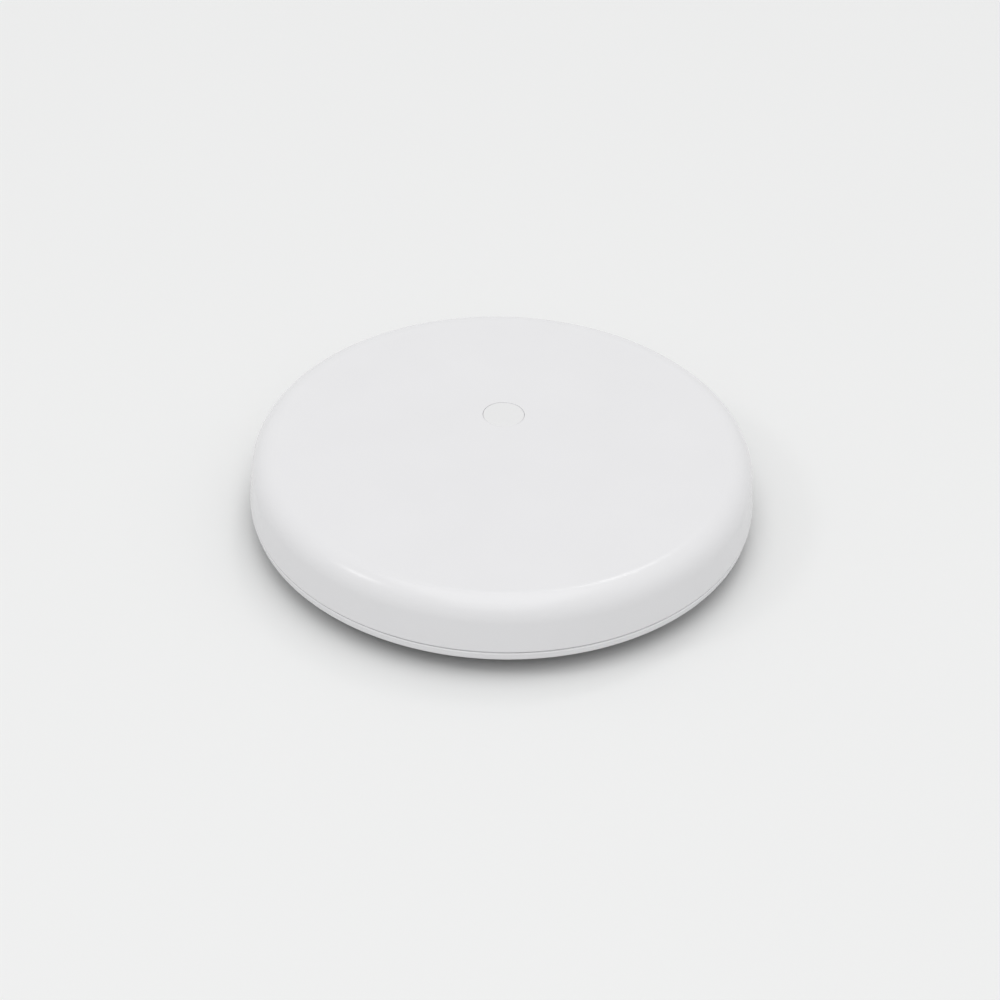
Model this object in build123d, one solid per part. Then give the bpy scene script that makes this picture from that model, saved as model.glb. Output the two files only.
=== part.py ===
from build123d import *
from math import cos, degrees, radians, sin, tan
import os

# A round water leak sensor that stands on three steel studs.
# All sizes are millimetres and degrees. The origin is on the floor under the middle, +Z is up,
# and -Y is the side that faces the viewer of the photograph.

# Outer form
RIM_RADIUS = 38.0  # outside of the cover at the parting line
FLOOR_GAP = 3.2  # floor to the lower edge of the base's band
BAND_HEIGHT = 1.4  # the band of the base that shows under the parting line
BAND_TUCK = 0.34  # the band's lower edge lies this far inside the rim
PARTING_GAP = 0.15  # height of the fine slot between cover and base
WALL_LEAN = 4.2  # degrees that the side wall leans inwards
SHOULDER_RADIUS = 3.7  # rounding from the side wall to the top
SHOULDER_STEPS = 6  # short straight faces that follow the rounding
COVER_WALL = 1.65
INNER_BEVEL = 1.4  # inside corner between ceiling and wall
FOOT_HEIGHT = 1.0  # the studs hold the underside this far off the floor
UNDERSIDE_INSET = 3.2  # the underside is flat up to this far inside the rim, then bevelled
BASE_WALL = 1.6

# Joint between cover and base
TONGUE_WALL = 1.3
TONGUE_HEIGHT = 2.2
GASKET_WIDTH = 0.8
GASKET_HEIGHT = 1.2
GASKET_GAP = 0.15
HOOK_COUNT = 6
HOOK_WIDTH = 5.0
HOOK_HEIGHT = 0.8
HOOK_REACH = 1.3  # how far a hook stands out of the tongue
HOOK_GAP = 0.1
HOOK_DROP = 0.1  # below the top of the tongue

# Coin cell
CELL_RADIUS = 12.25
CELL_HEIGHT = 5.0
CELL_GAP = 0.25
CELL_CAP_INSET = 1.35  # the cell's top cap is this much smaller than its can
CELL_CAP_RISE = 0.2

# Battery door and its socket
DOOR_FLOOR = 1.9  # thickness under the cell
FLANGE_THICKNESS = 1.2
FLANGE_OVERHANG = 1.25
FLANGE_GAP = 0.25  # round the flange, in the recess of the base
SKIRT_WALL = 1.35
SKIRT_HEIGHT = 3.9  # above the seat of the cell
SKIRT_GAP = 0.2
BAY_WALL = 1.2  # wall of the socket outside of the recess
BAY_TOP_GAP = 0.3  # between the socket's wall and the board
THREAD_LEAD = 14.4  # the door comes down this much in a full turn
LUG_COUNT = 3
LUG_ARC = 12.0  # degrees
LUG_HEIGHT = 1.2
LUG_LEVEL = 3.6  # middle of a lug above the underside
LUG_GAP = 0.2
SLOT_RUN_OUT = 8.0  # degrees that a slot runs on past the top of the skirt
COIN_SLOT_LENGTH = 18.0
COIN_SLOT_WIDTH = 2.2
COIN_SLOT_DEPTH = 1.1
DOOR_SEAL_WIDTH = 1.0
DOOR_SEAL_HEIGHT = 0.8

# Studs that sense the water
STUD_COUNT = 3
FIRST_STUD = 270.0  # degrees, at the front
STUD_RADIUS = 3.0
STUD_SHANK = 1.25
STUD_EDGE = 0.5
STUD_BOSS_WALL = 1.9
STUD_GAP = 0.1
STUD_END = 0.4  # how far a stud stands out of its nut
NUT_WIDTH = 4.5  # across flats
NUT_HEIGHT = 1.3

# Circuit board and the parts on it
BOARD_GAP = 0.7  # between cell and board
BOARD_THICKNESS = 0.8
BOARD_EDGE_GAP = 3.2
FACE_GAP = 0.02  # between a part and what it lies on
CONTACT_THICKNESS = 0.15
CONTACT_WIDTH = 3.0
CONTACT_LENGTH = 8.0
RADIO_PLACE = (-15.0, -9.0)
SHIELD_LENGTH = 12.0
SHIELD_WIDTH = 10.0
SHIELD_HEIGHT = 1.5
SHIELD_WALL = 0.2
RADIO_CHIP_SIDE = 5.0
CHIP_HEIGHT = 0.85
ANTENNA_INSET = 2.6  # its middle inside the board's edge
ANTENNA_LENGTH = 6.5
ANTENNA_WIDTH = 2.2
ANTENNA_HEIGHT = 1.2
CRYSTAL_PLACE = (-4.0, -10.0)
CRYSTAL_LENGTH = 3.2
CRYSTAL_WIDTH = 1.5
DETECTOR_PLACE = (13.0, -9.0)
DETECTOR_SIDE = 4.0
CAPACITOR_PLACE = (3.0, -14.0)
RESISTOR_PLACE = (10.0, 5.0)
CHIP_LENGTH = 1.6  # of a capacitor, a resistor and the light
CHIP_WIDTH = 0.8
CHIP_PITCH = 2.4
RESISTOR_HEIGHT = 0.45
LED_HEIGHT = 0.55
LED_GAP = 0.8  # beside the switch

# Button and switch
BUTTON_RADIUS = 3.1
BUTTON_OFFSET = 8.7  # behind the middle of the top
BUTTON_GAP = 0.1
BUTTON_RECESS = 0.04  # the button's face below the top
BUTTON_FLANGE_RADIUS = 4.2
BUTTON_FLANGE = 0.45
BUTTON_TOP_GAP = 0.05  # between the flange and the ceiling
SWITCH_LENGTH = 4.2
SWITCH_WIDTH = 3.2
SWITCH_HEIGHT = 1.1
PLUNGER_RADIUS = 1.0
PLUNGER_HEIGHT = 0.4  # above the switch
PLUNGER_DEPTH = 0.4  # inside the switch
PLUNGER_GAP = 0.1
PLUNGER_BORE = 0.8  # depth of its hole in the switch

# Ribs
RIB_THICKNESS = 0.9
RIB_SINK = 0.4  # how far a rib reaches into the wall that it stands on
CEILING_RIB_DEPTH = 0.45
RIB_START = 14.0  # the ceiling ribs begin this far from the middle

# Levels above the floor
SHELF_Z = FLOOR_GAP + BAND_HEIGHT - PARTING_GAP / 2
COVER_Z = SHELF_Z + PARTING_GAP
TONGUE_Z = SHELF_Z + TONGUE_HEIGHT
FLOOR_Z = FOOT_HEIGHT + BASE_WALL
FLANGE_Z = FOOT_HEIGHT + FLANGE_THICKNESS
CELL_Z = FOOT_HEIGHT + DOOR_FLOOR
CELL_TOP_Z = CELL_Z + CELL_HEIGHT
BOARD_Z = CELL_TOP_Z + BOARD_GAP
BOARD_TOP_Z = BOARD_Z + BOARD_THICKNESS
PLUNGER_Z = BOARD_TOP_Z + SWITCH_HEIGHT
BUTTON_Z = PLUNGER_Z + PLUNGER_HEIGHT
CEILING_Z = BUTTON_Z + BUTTON_FLANGE + BUTTON_TOP_GAP
TOP_Z = CEILING_Z + COVER_WALL
SKIRT_TOP_Z = CELL_Z + SKIRT_HEIGHT
BAY_TOP_Z = BOARD_Z - BAY_TOP_GAP
LUG_Z = FOOT_HEIGHT + LUG_LEVEL

# Distances from the middle axis
WALL_SLOPE = tan(radians(WALL_LEAN))
COVER_INSIDE = RIM_RADIUS - COVER_WALL
GASKET_OUTSIDE = COVER_INSIDE - GASKET_GAP
TONGUE_OUTSIDE = GASKET_OUTSIDE - GASKET_WIDTH - GASKET_GAP
TONGUE_INSIDE = TONGUE_OUTSIDE - TONGUE_WALL
FLAT_RADIUS = RIM_RADIUS - UNDERSIDE_INSET
SKIRT_INSIDE = CELL_RADIUS + CELL_GAP
SKIRT_OUTSIDE = SKIRT_INSIDE + SKIRT_WALL
BAY_RADIUS = SKIRT_OUTSIDE + SKIRT_GAP
FLANGE_RADIUS = SKIRT_OUTSIDE + FLANGE_OVERHANG
RECESS_RADIUS = FLANGE_RADIUS + FLANGE_GAP
BAY_OUTSIDE = RECESS_RADIUS + BAY_WALL
STUD_CIRCLE = (RECESS_RADIUS + FLAT_RADIUS) / 2
BOARD_RADIUS = COVER_INSIDE - BOARD_EDGE_GAP


def disc(radius, low, high):
    """A round plate or pin on the middle axis between two levels."""
    return Pos(0, 0, low) * Cylinder(radius, high - low, align=(Align.CENTER, Align.CENTER, Align.MIN))


def tube(outer, inner, low, high):
    """A ring on the middle axis between two levels."""
    return disc(outer, low, high) - disc(inner, low, high)


def block(length, width, low, high):
    """A rectangular block on the middle axis between two levels."""
    return Pos(0, 0, low) * Box(length, width, high - low, align=(Align.CENTER, Align.CENTER, Align.MIN))


def around(shape, radius, count, start=0.0):
    """Copies of a shape set on a circle, each turned to face outwards."""
    return [place * shape for place in PolarLocations(radius, count, start_angle=start)]


def turned(outline):
    """Turn a closed half section about the middle axis."""
    return revolve(Plane.XZ * make_face(outline), Axis.Z)


def helical_bar(inner, outer, height, start, end, level):
    """A bar of rectangular section that climbs with the thread and is at its level at 0 degrees."""
    start_z = level + THREAD_LEAD * start / 360
    climb = THREAD_LEAD * (end - start) / 360
    helix = Helix(pitch=THREAD_LEAD, height=climb, radius=(inner + outer) / 2)
    path = Pos(0, 0, start_z) * Rot(0, 0, start) * helix
    outwards = (cos(radians(start)), sin(radians(start)), 0)
    section = Plane(origin=path @ 0, x_dir=outwards, z_dir=path % 0) * Rectangle(outer - inner, height)
    return sweep(section, path=path, is_frenet=True)


def cover_outside():
    """The solid form of the cover: flat top, rounded shoulder and leaning wall."""
    edge_radius = RIM_RADIUS - WALL_SLOPE * (TOP_Z - SHOULDER_RADIUS - COVER_Z)
    turn = 90 - WALL_LEAN
    middle = (edge_radius - SHOULDER_RADIUS * cos(radians(WALL_LEAN)), TOP_Z - SHOULDER_RADIUS)
    angles = [radians(WALL_LEAN + turn * step / SHOULDER_STEPS) for step in range(SHOULDER_STEPS + 1)]
    shoulder = [(middle[0] + SHOULDER_RADIUS * cos(a), middle[1] + SHOULDER_RADIUS * sin(a)) for a in angles]
    return turned(Polyline((0, COVER_Z), (RIM_RADIUS, COVER_Z), *shoulder, (0, TOP_Z), close=True))


def cover_inside():
    """The hollow of the cover, which follows its wall and has a flat ceiling."""
    inside_top = COVER_INSIDE - WALL_SLOPE * (CEILING_Z - COVER_Z)
    return turned(
        Polyline(
            (0, COVER_Z),
            (COVER_INSIDE, COVER_Z),
            (inside_top, CEILING_Z - INNER_BEVEL),
            (inside_top - INNER_BEVEL, CEILING_Z),
            (0, CEILING_Z),
            close=True,
        )
    )


def top_cover():
    """The moulded shell, with its ceiling ribs, the pockets for the base's hooks and the button hole."""
    rib_length = BOARD_RADIUS - RIB_START
    rib = block(rib_length, RIB_THICKNESS, CEILING_Z - CEILING_RIB_DEPTH, CEILING_Z + RIB_SINK)
    pocket_reach = HOOK_REACH + 2 * HOOK_GAP
    pocket = Pos(pocket_reach / 2, 0, 0) * block(
        pocket_reach,
        HOOK_WIDTH + 2 * HOOK_GAP,
        TONGUE_Z - HOOK_DROP - HOOK_HEIGHT - HOOK_GAP,
        TONGUE_Z,
    )
    shell = cover_outside() - cover_inside()
    shell += around(rib, (BOARD_RADIUS + RIB_START) / 2, HOOK_COUNT)
    shell -= around(pocket, TONGUE_OUTSIDE, HOOK_COUNT)
    return shell - Pos(0, BUTTON_OFFSET, 0) * disc(BUTTON_RADIUS + BUTTON_GAP, CEILING_Z, TOP_Z)


def base_outline():
    """Half section of the base: flat middle, bevel up to the band, shelf, tongue and floor."""
    return Polyline(
        (0, FOOT_HEIGHT),
        (FLAT_RADIUS, FOOT_HEIGHT),
        (RIM_RADIUS - BAND_TUCK, FLOOR_GAP),
        (RIM_RADIUS, SHELF_Z),
        (TONGUE_OUTSIDE, SHELF_Z),
        (TONGUE_OUTSIDE, TONGUE_Z),
        (TONGUE_INSIDE, TONGUE_Z),
        (TONGUE_INSIDE, FLOOR_Z),
        (0, FLOOR_Z),
        close=True,
    )


def snap_hook():
    """A wedge on the outside of the tongue, flat below and sloping above."""
    low = TONGUE_Z - HOOK_DROP - HOOK_HEIGHT
    outline = Polyline(
        (-RIB_SINK, low),
        (HOOK_REACH, low),
        (0, low + HOOK_HEIGHT),
        (-RIB_SINK, low + HOOK_HEIGHT),
        close=True,
    )
    return extrude(Plane.XZ * make_face(outline), HOOK_WIDTH / 2, both=True)


def door_socket():
    """What is cut from the base for the door: the recess for its flange and seal, and the bore."""
    return disc(RECESS_RADIUS, 0, FLANGE_Z + DOOR_SEAL_HEIGHT + FACE_GAP) + disc(BAY_RADIUS, 0, BAY_TOP_Z)


def base_shell():
    """The moulded base with the door's socket and its lugs, stud bosses, floor ribs and hooks."""
    boss = disc(STUD_SHANK + STUD_BOSS_WALL, FLOOR_Z - RIB_SINK, BOARD_Z)
    rib_length = TONGUE_INSIDE - BAY_OUTSIDE + 2 * RIB_SINK
    rib = block(rib_length, RIB_THICKNESS, FLOOR_Z - RIB_SINK, SHELF_Z)
    lug = helical_bar(
        SKIRT_INSIDE + LUG_GAP, BAY_RADIUS + RIB_SINK, LUG_HEIGHT, -LUG_ARC / 2, LUG_ARC / 2, LUG_Z
    )
    base = turned(base_outline())
    base += disc(BAY_OUTSIDE, FLOOR_Z - RIB_SINK, BAY_TOP_Z)
    base += around(rib, (TONGUE_INSIDE + BAY_OUTSIDE) / 2, HOOK_COUNT)
    base += around(snap_hook(), TONGUE_OUTSIDE, HOOK_COUNT)
    base += around(boss, STUD_CIRCLE, STUD_COUNT, FIRST_STUD)
    base -= door_socket()
    base += around(lug, 0, LUG_COUNT)
    return base - around(disc(STUD_SHANK + STUD_GAP, 0, BOARD_Z), STUD_CIRCLE, STUD_COUNT, FIRST_STUD)


def housing_gasket():
    """The ring that lies on the base's shelf, between the tongue and the cover."""
    return tube(GASKET_OUTSIDE, GASKET_OUTSIDE - GASKET_WIDTH, SHELF_Z, SHELF_Z + GASKET_HEIGHT)


def probe_stud():
    """One turned steel stud: bevelled head on the floor and a shank up through the board."""
    head = chamfer(disc(STUD_RADIUS, 0, FOOT_HEIGHT).edges().sort_by(Axis.Z)[0], STUD_EDGE)
    return head + disc(STUD_SHANK, FOOT_HEIGHT, BOARD_TOP_Z + NUT_HEIGHT + STUD_END)


def probe_studs():
    """The studs by name, each in its own place."""
    names = ["probe_front", "probe_rear_right", "probe_rear_left"]
    return dict(zip(names, around(probe_stud(), STUD_CIRCLE, STUD_COUNT, FIRST_STUD)))


def probe_nuts():
    """The hexagon nuts that clamp the board on the bosses and connect it to the studs."""
    hexagon = RegularPolygon(NUT_WIDTH / 2, 6, major_radius=False)
    nut = Pos(0, 0, BOARD_TOP_Z) * extrude(hexagon, NUT_HEIGHT)
    nut -= disc(STUD_SHANK + FACE_GAP, BOARD_TOP_Z, BOARD_TOP_Z + NUT_HEIGHT)
    return Compound(around(nut, STUD_CIRCLE, STUD_COUNT, FIRST_STUD))


def circuit_board():
    """The round board, drilled for the studs."""
    hole = disc(STUD_SHANK + STUD_GAP, BOARD_Z, BOARD_TOP_Z)
    return disc(BOARD_RADIUS, BOARD_Z, BOARD_TOP_Z) - around(hole, STUD_CIRCLE, STUD_COUNT, FIRST_STUD)


def on_board(length, width, height, x, y, turn=0.0):
    """A block that lies on top of the board."""
    low = BOARD_TOP_Z + FACE_GAP
    return Pos(x, y, 0) * Rot(0, 0, turn) * block(length, width, low, low + height)


def radio_shield():
    """A thin pressed can, open below, over the radio chip."""
    inner_length = SHIELD_LENGTH - 2 * SHIELD_WALL
    inner_width = SHIELD_WIDTH - 2 * SHIELD_WALL
    can = on_board(SHIELD_LENGTH, SHIELD_WIDTH, SHIELD_HEIGHT, *RADIO_PLACE)
    return can - on_board(inner_length, inner_width, SHIELD_HEIGHT - SHIELD_WALL, *RADIO_PLACE)


def small_parts(first_x, first_y, columns, rows, height):
    """Small soldered parts in a grid on the board, each its own solid."""
    parts = []
    for row in range(rows):
        for column in range(columns):
            x = first_x + column * CHIP_PITCH
            y = first_y - row * CHIP_PITCH
            parts.append(on_board(CHIP_LENGTH, CHIP_WIDTH, height, x, y))
    return Compound(parts)


def chip_antenna():
    """A ceramic block near the edge of the board and along it, between two studs."""
    turn = FIRST_STUD - 180 / STUD_COUNT
    circle = BOARD_RADIUS - ANTENNA_INSET
    place = (circle * cos(radians(turn)), circle * sin(radians(turn)))
    return on_board(ANTENNA_WIDTH, ANTENNA_LENGTH, ANTENNA_HEIGHT, *place, turn)


def tactile_switch():
    """The body of the low switch under the button, with the hole for its plunger."""
    body = block(SWITCH_LENGTH, SWITCH_WIDTH, BOARD_TOP_Z + FACE_GAP, PLUNGER_Z)
    body -= disc(PLUNGER_RADIUS + PLUNGER_GAP, PLUNGER_Z - PLUNGER_BORE, PLUNGER_Z)
    return Pos(0, BUTTON_OFFSET, 0) * body


def switch_plunger():
    """The short pin of the switch, which the button's flange pushes down."""
    return Pos(0, BUTTON_OFFSET, 0) * disc(PLUNGER_RADIUS, PLUNGER_Z - PLUNGER_DEPTH, BUTTON_Z - FACE_GAP)


def status_led():
    """The light beside the switch, under the milky flange of the button."""
    side = BUTTON_OFFSET + (SWITCH_WIDTH + CHIP_WIDTH) / 2 + LED_GAP
    return on_board(CHIP_LENGTH, CHIP_WIDTH, LED_HEIGHT, 0, side)


def test_button():
    """The round button: a cap level with the top, and the flange that holds it in."""
    cap = disc(BUTTON_RADIUS, BUTTON_Z, TOP_Z - BUTTON_RECESS)
    return Pos(0, BUTTON_OFFSET, 0) * (cap + disc(BUTTON_FLANGE_RADIUS, BUTTON_Z, BUTTON_Z + BUTTON_FLANGE))


def coin_cell():
    """The cell: its can below and its smaller cap on top."""
    can_z = CELL_TOP_Z - CELL_CAP_RISE
    return disc(CELL_RADIUS, CELL_Z, can_z) + disc(CELL_RADIUS - CELL_CAP_INSET, can_z, CELL_TOP_Z)


def negative_contact():
    """A leaf spring under the board that bears on the middle of the cell's cap."""
    foot_z = BOARD_Z - FACE_GAP - CONTACT_THICKNESS / 2
    touch_z = CELL_TOP_Z + FACE_GAP + CONTACT_THICKNESS / 2
    bend = CONTACT_LENGTH / 2
    leaf = Polyline(
        (CONTACT_LENGTH, foot_z),
        (bend, foot_z),
        (0, touch_z),
        (-bend / 2, touch_z),
        (-bend, (foot_z + touch_z) / 2),
    )
    return extrude(Plane.XZ * trace(leaf, CONTACT_THICKNESS), CONTACT_WIDTH / 2, both=True)


def positive_contact():
    """A bent strip under the board that bears on the side of the cell."""
    foot_z = BOARD_Z - FACE_GAP - CONTACT_THICKNESS / 2
    touch_x = CELL_RADIUS + FACE_GAP + CONTACT_THICKNESS / 2
    tip_z = SKIRT_TOP_Z + BAY_TOP_GAP
    strip = Polyline((-touch_x - CONTACT_LENGTH / 2, foot_z), (-touch_x, foot_z), (-touch_x, tip_z))
    return extrude(Plane.XZ * trace(strip, CONTACT_THICKNESS), CONTACT_WIDTH / 2, both=True)


def battery_door():
    """The round door: flange, cup for the cell, three slanting slots and a slot for a coin."""
    door = disc(FLANGE_RADIUS, FOOT_HEIGHT, FLANGE_Z)
    door += disc(SKIRT_OUTSIDE, FLANGE_Z, SKIRT_TOP_Z)
    door -= disc(SKIRT_INSIDE, CELL_Z, SKIRT_TOP_Z)
    slot_height = LUG_HEIGHT + 2 * LUG_GAP
    slot_start = -LUG_ARC / 2 - degrees(LUG_GAP / SKIRT_OUTSIDE)
    slot_end = 360 * (SKIRT_TOP_Z - LUG_Z + slot_height / 2) / THREAD_LEAD + SLOT_RUN_OUT
    slot = helical_bar(
        SKIRT_INSIDE - LUG_GAP, SKIRT_OUTSIDE + LUG_GAP, slot_height, slot_start, slot_end, LUG_Z
    )
    door -= around(slot, 0, LUG_COUNT)
    coin_slot = extrude(SlotOverall(COIN_SLOT_LENGTH, COIN_SLOT_WIDTH), COIN_SLOT_DEPTH)
    return door - Pos(0, 0, FOOT_HEIGHT) * coin_slot


def door_seal():
    """The ring that lies on the door's flange, round its skirt."""
    inner = SKIRT_OUTSIDE + FACE_GAP
    return tube(inner + DOOR_SEAL_WIDTH, inner, FLANGE_Z, FLANGE_Z + DOOR_SEAL_HEIGHT)


def assembly():
    """Every piece by its name."""
    return {
        "top_cover": top_cover(),
        "base_shell": base_shell(),
        "housing_gasket": housing_gasket(),
        **probe_studs(),
        "probe_nuts": probe_nuts(),
        "circuit_board": circuit_board(),
        "radio_shield": radio_shield(),
        "radio_chip": on_board(RADIO_CHIP_SIDE, RADIO_CHIP_SIDE, CHIP_HEIGHT, *RADIO_PLACE),
        "chip_antenna": chip_antenna(),
        "clock_crystal": on_board(CRYSTAL_LENGTH, CRYSTAL_WIDTH, CHIP_HEIGHT, *CRYSTAL_PLACE),
        "detector_chip": on_board(DETECTOR_SIDE, DETECTOR_SIDE, CHIP_HEIGHT, *DETECTOR_PLACE),
        "capacitors": small_parts(*CAPACITOR_PLACE, 3, 2, CHIP_WIDTH),
        "resistors": small_parts(*RESISTOR_PLACE, 2, 3, RESISTOR_HEIGHT),
        "tactile_switch": tactile_switch(),
        "switch_plunger": switch_plunger(),
        "status_led": status_led(),
        "test_button": test_button(),
        "coin_cell": coin_cell(),
        "negative_contact": negative_contact(),
        "positive_contact": positive_contact(),
        "battery_door": battery_door(),
        "door_seal": door_seal(),
    }


os.makedirs("parts", exist_ok=True)
for name, piece in assembly().items():
    export_step(piece, f"parts/{name}.step")
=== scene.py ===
from math import ceil, cos, pi, radians, sin, tan

import bpy
import numpy as np
from mathutils import Matrix, Vector


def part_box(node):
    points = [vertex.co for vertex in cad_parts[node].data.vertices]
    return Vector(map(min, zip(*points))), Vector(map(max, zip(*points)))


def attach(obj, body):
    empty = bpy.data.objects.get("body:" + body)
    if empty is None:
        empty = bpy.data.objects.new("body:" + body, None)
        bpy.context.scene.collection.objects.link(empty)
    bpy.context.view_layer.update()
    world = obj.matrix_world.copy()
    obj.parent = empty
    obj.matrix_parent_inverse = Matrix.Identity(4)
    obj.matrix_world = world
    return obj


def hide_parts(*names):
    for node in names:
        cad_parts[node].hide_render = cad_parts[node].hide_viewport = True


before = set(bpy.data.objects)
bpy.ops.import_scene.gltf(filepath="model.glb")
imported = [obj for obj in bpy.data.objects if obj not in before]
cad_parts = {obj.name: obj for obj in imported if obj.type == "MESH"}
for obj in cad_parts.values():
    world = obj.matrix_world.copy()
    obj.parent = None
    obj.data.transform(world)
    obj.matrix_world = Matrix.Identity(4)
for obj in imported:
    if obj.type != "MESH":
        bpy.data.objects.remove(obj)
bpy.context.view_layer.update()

bl_info = {
    "name": "Water leak sensor",
    "version": (1, 0, 0),
    "blender": (4, 5, 0),
    "location": "3D View > Sidebar > Sensor",
    "description": "Builds the surfaces and finishes of a water leak sensor",
    "category": "Object",
}

# Places and sizes that the frame gives, in metres
COVER_LOW, COVER_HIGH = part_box("top_cover")
BASE_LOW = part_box("base_shell")[0]
BUTTON_LOW, BUTTON_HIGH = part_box("test_button")
BUTTON_PLACE = (0.0, (BUTTON_LOW.y + BUTTON_HIGH.y) / 2)
STUD_LOW, STUD_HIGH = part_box("probe_front")
NUT_LOW, NUT_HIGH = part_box("probe_nuts")
DOOR_LOW, DOOR_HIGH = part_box("battery_door")
DOOR_SEAL_LOW, DOOR_SEAL_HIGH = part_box("door_seal")
GASKET_LOW, GASKET_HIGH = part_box("housing_gasket")
CELL_LOW, CELL_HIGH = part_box("coin_cell")
BOARD_LOW, BOARD_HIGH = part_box("circuit_board")

# Angles about an upright axis
SIXTH = pi / 3  # between two hooks, or two sides of a nut
THIRD = 2 * pi / 3  # between two lugs
STUDS = dict(probe_front=radians(270), probe_rear_right=radians(30), probe_rear_left=radians(150))
HOOK_TURNS = [radians(degrees) for degrees in range(0, 360, 60)]
LUG_TURNS = [radians(degrees) for degrees in (0, 120, 240)]
ROUND = np.linspace(0, 2 * pi, 288, endpoint=False)  # of the points of large pieces
SMALL_ROUND = np.linspace(0, 2 * pi, 96, endpoint=False)  # of those of studs, nuts and button

# How finely corners are rounded
FINE_STEP = radians(18)  # turn of one step of a small rounding
BROAD_STEP = radians(5)  # turn of one step of a broad rounding
BROAD_ROUNDING = 0.001  # roundings over this, in metres, are broad
GUARD_SHARE = 0.3  # share of a rounding or a run that a guard point stands off
GUARD_LEAST = 0.00003  # added to the share of a rounding, in metres
GUARD_MOST = 0.0003  # most that it stands off, in metres
SHARP_EDGE = radians(35)  # faces that meet at a wider turn are shaded apart
ONE_POINT = 1e-9  # spread in metres under which a row is one point

# Small measures that several pieces share, in metres
SINK = 0.0004  # how far a rib, lug, boss or hook reaches into its wall
SLIT = 0.00002  # room between two faces that all but touch
CRISP = 0.0001  # rounding or bevel of a crisp edge
SLIGHT = 0.00015  # rounding of the tongue and of the coin slot's edge
DOOR_ROUND = 0.0003  # rounding of the door's broad edges
FILLET = 0.0004  # rounding of the base's inside corners and the band's lower edge
SHADE_COAT_STEP = 0.0001  # how far from the level of a face the grey coat of painted shade ends

NOISE_LOW, NOISE_HIGH = 0.3, 0.7  # nearly all values of a noise lie between these

# Direction, side in metres, and share of the light on the floor of each lamp
LAMPS = (
    ((0.0, -0.09, 1.0), 0.9, 0.207),
    ((0.64, 0.0, 0.77), 0.9, 0.019),
    ((0.0, -0.62, 0.79), 0.7, 0.085),
    ((-0.67, -0.19, 0.72), 0.2, 0.036),
    ((-0.03, 0.42, 0.91), 0.12, 0.012),
    ((0.2, 0.49, 0.85), 0.18, 0.032),
)


def number(name, description, default, **kind):
    """A property that holds a number."""
    return bpy.props.FloatProperty(name=name, description=description, default=default, **kind)


def length(name, description, default):
    """A property that holds a length in metres."""
    return number(name, description, default, unit="LENGTH", precision=5)


def angle(name, description, default):
    """A property that holds an angle, given in degrees."""
    return number(name, description, radians(default), subtype="ANGLE")


def colour(name, description, default):
    """A property that holds a colour."""
    return bpy.props.FloatVectorProperty(
        name=name, description=description, default=(*default, 1.0), subtype="COLOR", size=4, min=0, max=1
    )


class SensorSizes(bpy.types.PropertyGroup):
    """Sizes of the sensor's surfaces that its frame doesn't give."""

    wall_lean: angle("Wall lean", "Lean of the side wall inwards", 4.2)
    shoulder: length("Shoulder", "Rounding from side wall to top", 0.0037)
    cover_wall: length("Cover wall", "Thickness of the cover", 0.00165)
    pocket_radius: length("Pocket depth", "Radius of the hook pockets' ends", 0.03675)
    pocket_half: angle("Pocket half width", "Half of the angle of a hook pocket", 5.1)
    inner_bevel: length("Inner bevel", "Inside corner between ceiling and wall", 0.0014)
    edge: length("Edge", "Rounding of plain edges", 0.0002)
    band_low: length("Band's lower edge", "Height of the band's lower edge", 0.0032)
    band_tuck: length("Band tuck", "From the rim in to the band's lower edge", 0.00034)
    shelf: length("Shelf", "Height of the band's upper edge", 0.004525)
    underside_inset: length("Underside inset", "Width of the bevel round the underside", 0.0032)
    floor_top: length("Floor", "Height of the base's inside floor", 0.0026)
    tongue_wall: length("Tongue wall", "Thickness of the tongue", 0.0013)
    tongue_top: length("Tongue top", "Height of the tongue's top", 0.006725)
    tongue_gap: length("Tongue gap", "Room between the tongue and its gasket", 0.00015)
    button_gap: length("Button gap", "Room round the button in its hole", 0.00004)
    button_edge: length("Button edge", "Rounding of the button and its hole", 0.00005)
    button_radius: length("Button radius", "Radius of the button's cap", 0.00313)
    flange_top: length("Door flange", "Height of the flange's top", 0.0022)
    flange_gap: length("Flange gap", "Room round the flange in its recess", 0.00025)
    skirt_outside: length("Skirt outside", "Outer radius of the door's skirt", 0.01385)
    skirt_wall: length("Skirt wall", "Thickness of the door's skirt", 0.00135)
    skirt_gap: length("Skirt gap", "Room round the skirt in its bore", 0.0002)
    cup_floor: length("Cup floor", "Height of the cell's seat", 0.0029)
    bay_wall: length("Socket wall", "Thickness of the socket's wall", 0.0012)
    bay_top: length("Socket top", "Height of the socket's wall", 0.0083)
    thread_lead: length("Thread lead", "How far the door comes down in a full turn", 0.0144)
    lug_level: length("Lug level", "Height of the middle of a lug", 0.0046)
    lug_height: length("Lug height", "Height of a lug", 0.0012)
    lug_gap: length("Lug gap", "Room round a lug in its slot", 0.0002)
    lug_arc: angle("Lug arc", "Angle that a lug covers", 12)
    coin_slot_length: length("Coin slot length", "Length of the coin slot", 0.018)
    coin_slot_width: length("Coin slot width", "Width of the coin slot", 0.0022)
    coin_slot_depth: length("Coin slot depth", "Depth of the coin slot", 0.0011)
    stud_shank: length("Stud shank", "Radius of a stud's shank", 0.00125)
    stud_bevel: length("Stud bevel", "Bevel round the head of a stud", 0.0005)
    thread_pitch: length("Stud thread", "Pitch of the studs' thread", 0.00045)
    boss_radius: length("Boss radius", "Outer radius of a stud's boss", 0.00315)
    cap_inset: length("Cell cap inset", "From the can's side in to the cap's", 0.00135)
    cap_rise: length("Cell cap rise", "How far the cell's cap stands up", 0.0002)
    rib: length("Rib", "Thickness of the ribs", 0.0009)
    rib_start: length("Rib start", "From the middle to the ceiling ribs", 0.014)


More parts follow.
